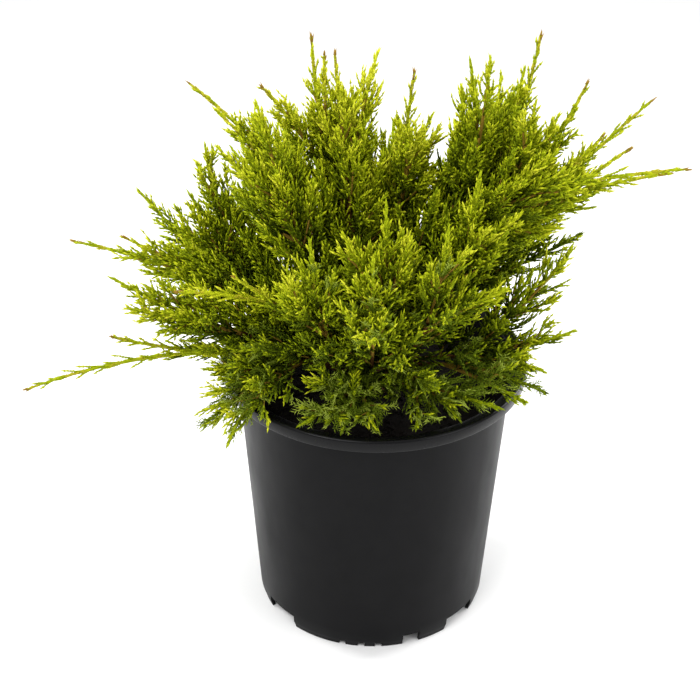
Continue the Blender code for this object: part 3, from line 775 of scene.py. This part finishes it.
def make_spray(length, step, dice):
    """A spray along +Z, flat across Y: branchlets stand alternately on it, with nubs of their own."""
    growth = Growth()
    joints = np.linspace(0, 1, 5)
    sway = dice.uniform(-SPRAY_SWAY, SPRAY_SWAY) * length
    line = np.stack([sway * np.sin(joints * math.pi), np.zeros(5), joints * length * 0.97], axis=1)
    growth.add(*stem_tube(line, SPRAY_R * (1.0 - 0.5 * joints), [-1, 0, 0, 1, 1]))
    side, at = 1.0, min(SPRAY_FOOT, length * 0.2)
    while at < length * 0.97:
        share = at / length
        side = -side
        turn = dice.uniform(-BRANCHLET_TURN, BRANCHLET_TURN)
        if dice.random() < STRAY_SHARE:
            turn += dice.choice([-STRAY_TURN, STRAY_TURN])
        turn = math.radians(turn)
        lean = BRANCHLET_SPREAD[0] + (BRANCHLET_SPREAD[1] - BRANCHLET_SPREAD[0]) * share
        lean = math.radians(lean + dice.uniform(-6, 6))
        out = np.array([side * math.cos(turn), math.sin(turn), 0.0])
        way = np.array([0, 0, math.cos(lean)]) + out * math.sin(lean)
        swell = min(1.0, 0.6 + share * 2.0)
        longest = min(BRANCHLET_LONG, length * 0.40)
        long = BRANCHLET_SHORT + (longest - BRANCHLET_SHORT) * (1 - share) * swell
        long = max(BRANCHLET_SHORT * 0.7, long * dice.uniform(0.8, 1.2))
        root = np.array([sway * math.sin(share * math.pi), 0, at])
        lighter = 1.0 if share > 0.6 else 0.0
        spike(growth, root, root + way * long, BRANCHLET_R, lighter, dice)
        clothe(growth, root, way, long, step, (lighter, lighter + 1.3), dice)
        if step == SCALE_STEP:
            for place in np.arange(NUB_STEP, long - TIP_ROOM, NUB_STEP):
                below = np.array([0, 0, math.sin(NUB_LEAN)])
                nub_side = out * math.cos(NUB_LEAN) - below * dice.choice([-1, 1])
                nub_way = way * 0.8 + nub_side * 0.6
                nub_way /= np.linalg.norm(nub_way)
                nub = root + way * place
                end = nub + nub_way * (NUB_LONG + (long - place) * NUB_GROWTH)
                tone = int(round(lighter + place / long * 1.2 + 0.4))
                spike(growth, nub, end, SCALE_R * 1.05, tone, dice)
        at += BRANCHLET_STEP * dice.uniform(0.85, 1.15)
    clothe(growth, line[2], np.array([0, 0, 1.0]), length * 0.48, step, (0.6, 2.4), dice)
    return growth.arrays()


# Young growth: needles in two rows on thin shoots, in duller and bluer greens. Its tones stand in the
# same order as those of the scales, darkest first.
NEEDLE_STEP = 0.0016
NEEDLE_LONG = 0.0062
NEEDLE_R = 0.00055
NEEDLE_SIDE_STEP = 0.0085
SHOOT_LEAN = (34, 48)
NEEDLE_TONES = np.array([TONE["green_shade"]] + [
    TONE[name] for name in ("needle_dark", "needle_mid", "needle_pale") for _ in range(2)
])


def needle_row(growth, base, way, side, length, dice):
    """A thin shoot with needles in two rows, the habit of the young growth low in the crown."""
    spike(growth, base, base + way * length, SPRAY_R * 0.8, 1, dice)
    at = np.arange(0.001, length, NEEDLE_STEP)
    rows = np.where(np.arange(len(at)) % 2, 1.0, -1.0)[:, None] * side
    roots = base + way * at[:, None]
    reach = NEEDLE_LONG * np.clip(1.15 - at / length * 0.6, 0.4, 1.0)[:, None]
    ways = way * 0.72 + rows * 0.62 + np.cross(way, side) * dice.uniform(-0.35, 0.35, (len(at), 1))
    tips = roots + ways * reach * dice.uniform(0.85, 1.15, (len(at), 1))
    shades = np.round(0.6 + at / length * 1.6 + dice.uniform(-0.4, 0.4, len(at))).astype(int)
    growth.add(*scales(roots, tips, np.full(len(at), NEEDLE_R), shades, dice))


def make_needle_spray(length, dice):
    """A flat spray of needle rows along +Z: one long, with shorter ones alternating on it."""
    growth = Growth()
    up, side = np.array([0, 0, 1.0]), np.array([1.0, 0, 0])
    needle_row(growth, np.zeros(3), up, side, length, dice)
    for index, at in enumerate(np.arange(0.005, length * 0.85, NEEDLE_SIDE_STEP)):
        lean = math.radians(dice.uniform(*SHOOT_LEAN)) * (1 if index % 2 else -1)
        way = up * math.cos(lean) + side * math.sin(lean)
        across_it = side * math.cos(lean) - up * math.sin(lean)
        long = (length - at) * dice.uniform(0.35, 0.55) + 0.004
        needle_row(growth, up * at, way, across_it, long, dice)
    return growth.arrays()


template_dice = np.random.default_rng(21)
needle_templates = {
    size: [make_needle_spray(length, template_dice) for _ in range(SPRAY_KINDS)]
    for size, length in enumerate(SPRAY_SIZES)
}
spray_templates = {
    (size, inner): [
        make_spray(length, SCALE_STEP_INNER if inner else SCALE_STEP, template_dice)
        for _ in range(SPRAY_KINDS)
    ]
    for inner in (False, True)
    for size, length in enumerate(SPRAY_SIZES)
}


# How far foliage keeps off the pot and the soil, and off the inside of the wall, which tapers.
POT_CLEAR = 0.001
LIP_CLEAR = 0.002
SOIL_CLEAR = 0.0015
INSIDE_CLEAR = 0.0045


def is_free(points):
    """Whether points keep clear of the pot's wall and rim, and of the soil."""
    reach = np.hypot(points[:, 0], points[:, 1])
    height = points[:, 2]
    outer = np.where(height > POT_H - RIM_LIP - LIP_CLEAR, RIM_R, WALL_TOP_R) + POT_CLEAR
    inner = WALL_TOP_R - WALL - INSIDE_CLEAR
    in_wall = (height < POT_H + POT_CLEAR) & (reach < outer) & (reach > inner)
    in_soil = (height < SOIL_Z + SOIL_CLEAR) & (reach < WALL_TOP_R)
    return not (in_wall | in_soil).any()


# How sprays stand on a leader: by the golden angle, shorter and less spread towards its tip, and
# curved up a little. One that would hang lower than the droop allows is set on the other side, and
# one without room is tried shorter.
SPRAY_UPCURVE = 0.18
SPRAY_STEP = 0.0071
SPRAY_LONG = 0.056
SPRAY_SHORT = 0.009
SPRAY_GROWTH = 0.44
SPRAY_DROOP = 0.40
SPRAY_SPREAD = 36.0
SPRAY_SPREAD_TIP = 21.0
SHORTER = (1.0, 0.7, 0.5)


def place_spray(growth, root, way, flat, length, base_tone, inner, young, dice):
    """Set the template nearest in length on a root, upcurved, if it keeps clear of the pot."""
    size = int(np.argmin([abs(length - other) for other in SPRAY_SIZES]))
    kinds = needle_templates[size] if young else spray_templates[(size, inner)]
    corners, faces, tones = kinds[int(dice.integers(SPRAY_KINDS))]
    x, y, z = corners.T
    if dice.random() < 0.5:
        x = -x
        faces = faces[:, ::-1]
    z = z * length / SPRAY_SIZES[size]
    y = y - SPRAY_UPCURVE * z * z / length * dice.uniform(0.5, 1.4)
    side = np.cross(flat, way)
    world = root + x[:, None] * side + y[:, None] * flat + z[:, None] * way
    if not is_free(world[::7]):
        return False
    tones = np.clip(base_tone + tones, 0, LIGHTEST)
    growth.add(world, faces, NEEDLE_TONES[tones] if young else tones)
    return True


def turned_out(onward, turn, lean):
    """A way that leans off a stem at a turn round it, the facing of a spray there, and the way out."""
    out = Matrix.Rotation(math.radians(turn), 3, onward) @ onward.orthogonal().normalized()
    way = onward * math.cos(lean) + out * math.sin(lean)
    return way, (out - way * out.dot(way)).normalized(), out


# A whip: the slim end of a leader, in larger scales, with short sprigs alternating along it. Long
# ones are partly gold, and their last centimetre is golden brown.
WHIP_SCALE_STEP = 0.0024
WHIP_SCALE_LONG = 0.0066
WHIP_SCALE_R = 0.00185
WHIP_LEAN = (9, 20)
WHIP_PIECE = 0.010
WHIP_TAPER = 0.03
WHIP_TIP = 0.011
LONG_WHIP = 0.03
GOLD_SHARE = 0.45
SPRIG_STEP = 0.0075
SPRIG_R = 0.0013
SPRIG_LEAN = (13, 25)
SPRIG_SHORT = 0.004
SPRIG_LONG = 0.014
LAST_SPRIG = 0.975


def clothe_line(growth, line, first, whip, dice, light):
    """Scales on a leader's green end, with short sprigs alternating along its whip."""
    total = length_of(line)
    # The whip's scales take their tone from the painted light handed in.
    tone = int(np.clip(round(light), 1, LIGHTEST))
    step = WHIP_PIECE / total
    for share in np.arange(first, 1.0, step):
        low, high = part_way(line, share)[0], part_way(line, min(share + step, 1.0))[0]
        length = (high - low).length
        if length < WHIP_PIECE / 10:
            continue
        way = np.array((high - low).normalized())
        slim = 0.6 + 0.4 * min(1.0, (1 - share) * total / WHIP_TAPER)
        shade = TONE["whip_gold"] if whip > LONG_WHIP and dice.random() < GOLD_SHARE else tone
        if whip > LONG_WHIP and (1 - share) * total < WHIP_TIP:
            shade = TONE["twig_golden"]
        clothe(
            growth,
            np.array(low),
            way,
            length,
            WHIP_SCALE_STEP,
            (shade, shade),
            dice,
            long=WHIP_SCALE_LONG,
            radius=WHIP_SCALE_R * slim,
            lean=WHIP_LEAN,
        )
    at, side = 1 - whip * 1.15 / total, 0.0
    while at < LAST_SPRIG:
        root, onward = part_way(line, at)
        side += 180 + dice.uniform(-50, 50)
        way = np.array(turned_out(onward, side, math.radians(dice.uniform(*SPRIG_LEAN)))[0])
        left = (1 - at) * total
        long = SPRIG_SHORT + min(left * 0.22, SPRIG_LONG) * dice.uniform(0.4, 1.25)
        base = np.array(root)
        spike(growth, base, base + way * long, SPRIG_R, tone, dice)
        shades = (max(tone - 1, 1), min(tone + 1, LIGHTEST))
        clothe(growth, base, way, long, WHIP_SCALE_STEP, shades, dice, radius=SPRIG_R)
        at += SPRIG_STEP / total * dice.uniform(0.8, 1.3)


def sprays_along(growth, line, first, whip, longest, step, young, dice, painted_light_at):
    """Sprays all round a leader, shorter towards its tip, up to where its whip begins.

    The share of them that young gives bears needles.
    """
    total = length_of(line)
    at, turn = first, dice.uniform(0, 360)
    while at < 1 - whip * 0.8 / total:
        root, onward = part_way(line, at)
        turn += GOLDEN_ANGLE + dice.uniform(-20, 20)
        spread = SPRAY_SPREAD + (SPRAY_SPREAD_TIP - SPRAY_SPREAD) * at
        lean = math.radians(spread + dice.uniform(-7, 7))
        left = max(0.0, (1 - at) * total - whip)
        length = min(longest, SPRAY_SHORT * (1 + young) + left * SPRAY_GROWTH) * dice.uniform(0.75, 1.15)
        with_needles = dice.random() < young
        way, flat, out = turned_out(onward, turn, lean)
        if way.z < onward.z - SPRAY_DROOP:
            turn += 180
            way, flat, out = turned_out(onward, turn, lean)
        # Each spray's tone is painted light and shade, from its place along the leader and the way it faces;
        # a deeply shaded one gets the sparser inner template.
        light = painted_light_at(at, out)
        tone = int(round(light + dice.uniform(-0.5, 0.5)))
        here = [np.array(v) for v in (root, way, flat)]
        for shorter in SHORTER:
            if place_spray(growth, *here, length * shorter, tone, light < 1.0, with_needles, dice):
                break
        at += step / total * dice.uniform(0.85, 1.15)


# The side plumes of a leader, each a small leader itself. They start close to the trunk, and tall
# masses have short plumes inside too, so that the crown is full. A leader's stem is green at its
# end, golden further in, and then brown.
PLUME_SHARE = 0.54
PLUME_MORE = 0.013
PLUME_GAP = 0.0195
PLUME_LEAN = (16, 29)
PLUME_SPRAY = 0.028
PLUME_STEP = 0.0072
PLUME_FIRST = 0.14
PLUME_LAST = 0.80
PLUME_JOINTS = (0, 1, 3, 5, 7, 9, 11)
PLUME_R = STEM_R * 0.45
HIGHEST_PLUME = 0.470
YOUNG_SPREAD = 30.0
INNER_PLUMES = 0.5
INNER_PLUME_TIP = 0.28
INNER_PLUME_LEAN = (34, 58)
INNER_PLUME_LONG = 0.056
BROWN_FROM = 0.09
GOLDEN_FROM = 0.02
LEADER_JOINTS = 14
LEADER_END = 0.025


def leader_growth(line, first, whip, young, dice, growth, twigs, painted_brightness, sparser, bare):
    """Everything on one leader: its stem, its side plumes, its sprays and its whip.

    It bears nothing before the share of its length that bare gives.
    """
    total = length_of(line)
    brown, golden, green = TONE["twig_brown"], TONE["twig_golden"], TONE["green_bright"]
    shares = np.linspace(first, 1.0, LEADER_JOINTS)
    radii = STEM_R + (STEM_TIP_R - STEM_R) * (shares - first) / (1 - first)
    left = [(1 - share) * total - whip for share in shares]
    tones = [brown if far > BROWN_FROM else golden if far > GOLDEN_FROM else green for far in left]
    twigs.add(*stem_tube([part_way(line, share)[0] for share in shares], radii, tones))
    inner = max(bare, 0.12 if first == 0 else first * 0.55)

    # The sprays' tone: darker near the trunk as painted shade deep in the crown, lighter towards the
    # yellow-green tip, and lighter still as painted light where a spray faces up.
    def leader_painted_light(at, out):
        return painted_brightness + at * 3.4 + out.z * 0.5

    step = SPRAY_STEP * sparser
    sprays_along(growth, line, inner, whip, SPRAY_LONG, step, young, dice, leader_painted_light)
    green_from = max(first, 1 - (whip + LEADER_END) / total)
    clothe_line(growth, line, green_from, whip, dice, painted_brightness + 4.2 - 2.0 * young)

    def side_plume(at, turn, lean, length, light):
        """A plume at a share of the line: a bowed stem with sprays of its own and a short whip."""
        root, onward = part_way(line, at)
        way, _, out = turned_out(onward, turn, lean)
        if way.z < onward.z - SPRAY_DROOP:
            way, _, out = turned_out(onward, turn + 180, lean)
        end = root + way * length + onward * length * 0.14 + Vector((0, 0, length * 0.06))
        plume = bend(root, root + way * length * 0.5, end, PLUME_JOINTS[-1] + 1)
        if not is_free(np.array(plume)) or end.z > HIGHEST_PLUME:
            return
        shade = [golden if joint < 7 else green for joint in PLUME_JOINTS]
        radii = [PLUME_R * (1 - 0.05 * joint) for joint in PLUME_JOINTS]
        twigs.add(*stem_tube([plume[joint] for joint in PLUME_JOINTS], radii, shade))
        # A plume that faces up gets painted light, and each plume's tone also varies at random.
        light += out.z * 0.5 + dice.uniform(-0.5, 0.5)

        def plume_painted_light(along, _):
            return light + along * 2.3

        short_whip = min(0.014, length * 0.25)
        sprays_along(growth, plume, 0.08, short_whip, PLUME_SPRAY, PLUME_STEP, young, dice, plume_painted_light)
        clothe_line(growth, plume, 0.7, short_whip, dice, light + 2.0 - young)

    at, turn = max(inner, PLUME_FIRST), dice.uniform(0, 360)
    while at < PLUME_LAST and (1 - at) * total > whip:
        turn += GOLDEN_ANGLE + dice.uniform(-25, 25)
        length = (((1 - at) * total - whip) * PLUME_SHARE + PLUME_MORE) * dice.uniform(0.8, 1.1)
        lean = math.radians(dice.uniform(*PLUME_LEAN) + YOUNG_SPREAD * young)
        side_plume(at, turn, lean, length, painted_brightness + at * 2.9)
        # Inner plumes get darker tones than outer ones, as painted shade inside the crown.
        if at < INNER_PLUMES and line[-1].z > INNER_PLUME_TIP:
            lean = math.radians(dice.uniform(*INNER_PLUME_LEAN))
            side_plume(at, turn + 180, lean, min(length, INNER_PLUME_LONG), painted_brightness + at * 1.6)
        at += PLUME_GAP * sparser / total * dice.uniform(0.8, 1.2)


def mesh_from(name, growth):
    """One mesh of all that was gathered, each triangle with the material of its tone."""
    corners, faces, tones = growth.arrays()
    mesh = bpy.data.meshes.new(name)
    mesh.vertices.add(len(corners))
    mesh.vertices.foreach_set("co", corners.astype(np.float32).ravel())
    mesh.loops.add(len(faces) * 3)
    mesh.loops.foreach_set("vertex_index", faces.astype(np.int32).ravel())
    mesh.polygons.add(len(faces))
    mesh.polygons.foreach_set("loop_start", np.arange(0, len(faces) * 3, 3, dtype=np.int32))
    mesh.polygons.foreach_set("material_index", np.clip(tones, 0, len(TONES) - 1).astype(np.int32))
    mesh.update(calc_edges=True)
    mesh.validate()
    return mesh


# The pieces that the masses are joined in, by where they stand. Then, by mass: how many tones of
# painted light it gets, negative for painted shade, how many times wider apart its sprays and plumes
# stand, the share of its leader that is bare, the share of its sprays that bears needles, and two
# whips unlike their solids'.
PIECES = {
    "foliage_left": ("far_left", "left", "left_front", "left_low", "left_shoulder"),
    "foliage_front_left": ("front_left_high", "front_left", "front_low_left", "front_middle"),
    "foliage_front_right": ("front_peak", "front_right_peak", "front_right", "front_low_right"),
    "foliage_top_left": ("upper_left", "top_left", "top_peak_left", "top_peak"),
    "foliage_top_right": ("inner_right", "top_right", "peak_right", "upper_right"),
    "foliage_right": ("far_right_high", "far_right", "right", "right_rim", "right_front_low"),
    "foliage_back_left": ("back_left", "back_left_low", "back_top"),
    "foliage_back_right": ("back_right", "back_low", "back_right_low"),
}
PAINTED_LIGHT_BY_MASS = {
    "front_low_left": -0.2,
    "front_low_right": -0.3,
    "left_low": -0.2,
    "right_front_low": -0.6,
    "right_rim": -0.6,
    "right": -0.2,
    "front_left_high": 1.2,
    "inner_right": 0.6,
    "peak_right": 0.2,
    "top_left": 0.3,
    "top_peak": 1.4,
    "top_peak_left": 1.2,
    "top_right": 0.2,
}
# Side leaders get this many more tones of painted light than their mass.
FORK_PAINTED_LIGHT = 0.8
SPARSER = {"right_front_low": 1.7, "front_low_left": 0.55, "left_low": 0.6}
BARE = {"right_front_low": 0.46, "right_rim": 0.28}
YOUNG = {
    "front_low_left": 0.85,
    "front_low_right": 0.85,
    "right_front_low": 0.8,
    "left_low": 0.6,
    "front_middle": 0.3,
    "front_right": 0.15,
    "front_left": 0.15,
}
OTHER_WHIPS = {"left_shoulder": 0.020, "front_left_high": 0.082}
whips = {entry[0]: entry[3] for entry in CROWN} | OTHER_WHIPS
carried = {entry[0]: entry[1] for entry in CROWN}

twigs = Growth()
for piece_name, masses in PIECES.items():
    growth = Growth()
    for mass in masses:
        dice = np.random.default_rng(sum(map(ord, mass)))
        leader, forks = limb_lines[mass]
        # The mass's tones of painted light, negative for painted shade.
        light = PAINTED_LIGHT_BY_MASS.get(mass, 0.0)
        first = BOUGH_SHARE if carried[mass] else 0.0
        young = YOUNG.get(mass, 0.0)
        sparser = SPARSER.get(mass, 1.0)
        bare = BARE.get(mass, 0.0)
        leader_growth(leader, first, whips[mass], young, dice, growth, twigs, light, sparser, bare)
        fork_whip = max(FORK_WHIP, whips[mass] * FORK_WHIP_SHARE)
        light += FORK_PAINTED_LIGHT
        for fork in forks:
            leader_growth(fork, 0.0, fork_whip, young, dice, growth, twigs, light, sparser, 0.0)
    mesh = mesh_from(piece_name, growth)
    foliage = show(piece_name, mesh, *foliage_materials)
    foliage.location = POT_AXIS
    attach(foliage, "root")
    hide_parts(*[f"foliage_{mass}" for mass in masses])

# The stems of all leaders and side plumes are one piece, inside the foliage.
leader_stems = show("leader_stems", mesh_from("leader_stems", twigs), *foliage_materials)
leader_stems.location = POT_AXIS
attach(leader_stems, "root")

# The studio: a white sweep under a white sky, a broad soft key light above the front left, a
# weaker fill from the right, a strip light behind each side, and one broad light overhead.
CAMERA_AT = Vector((-0.02045, -1.29925, 1.03495))
CAMERA_AIM = Vector((-0.02045, 0.0, 0.23838))
CAMERA_LENS = 94.1
CAMERA_ROLL = 0.009
FLOOR_SIZE = 6.0
SKY_STRENGTH = 0.63

# Each light: its name, its place and aim from the pot's axis, its two sides, and its power.
LIGHTS = (
    ("key", (-0.9, -1.3, 1.9), (0, 0, 0.30), (1.2, 1.0), 26.0),
    ("fill", (1.4, -1.0, 1.0), (0, 0, 0.25), (1.0, 1.2), 10.0),
    ("left_strip", (-1.1, 0.5, 0.6), (0, 0, 0.15), (0.35, 1.2), 12.0),
    ("right_strip", (1.1, 0.5, 0.6), (0, 0, 0.15), (0.35, 1.2), 12.0),
    ("top", (0.1, 0.3, 1.9), (0, 0, 0.30), (1.4, 1.4), 14.0),
)

paper = new_material("white_sweep", (0.93, 0.93, 0.93), roughness=0.9)
bm = bmesh.new()
bmesh.ops.create_grid(bm, x_segments=1, y_segments=1, size=FLOOR_SIZE / 2)
sweep = show("sweep", mesh_of("sweep", bm), paper)

sky = bpy.data.worlds.new("white_sky")
sky.use_nodes = True
sky.node_tree.nodes["Background"].inputs["Color"].default_value = (1, 1, 1, 1)
sky.node_tree.nodes["Background"].inputs["Strength"].default_value = SKY_STRENGTH
bpy.context.scene.world = sky

for name, place, aim, size, power in LIGHTS:
    lamp = bpy.data.lights.new(name, "AREA")
    lamp.shape = "RECTANGLE"
    lamp.size, lamp.size_y = size
    lamp.energy = power
    light = bpy.data.objects.new(name, lamp)
    bpy.context.scene.collection.objects.link(light)
    light.location = POT_AXIS + Vector(place)
    light.rotation_euler = (Vector(aim) - Vector(place)).to_track_quat("-Z", "Y").to_euler()

lens = bpy.data.cameras.new("camera")
lens.lens = CAMERA_LENS
camera = bpy.data.objects.new("camera", lens)
bpy.context.scene.collection.objects.link(camera)
camera.location = POT_AXIS + CAMERA_AT
facing = (CAMERA_AIM - CAMERA_AT).to_track_quat("-Z", "Y").to_matrix() @ Matrix.Rotation(CAMERA_ROLL, 3, "Z")
camera.rotation_euler = facing.to_euler()
bpy.context.scene.camera = camera
bpy.context.scene.view_settings.view_transform = "Standard"
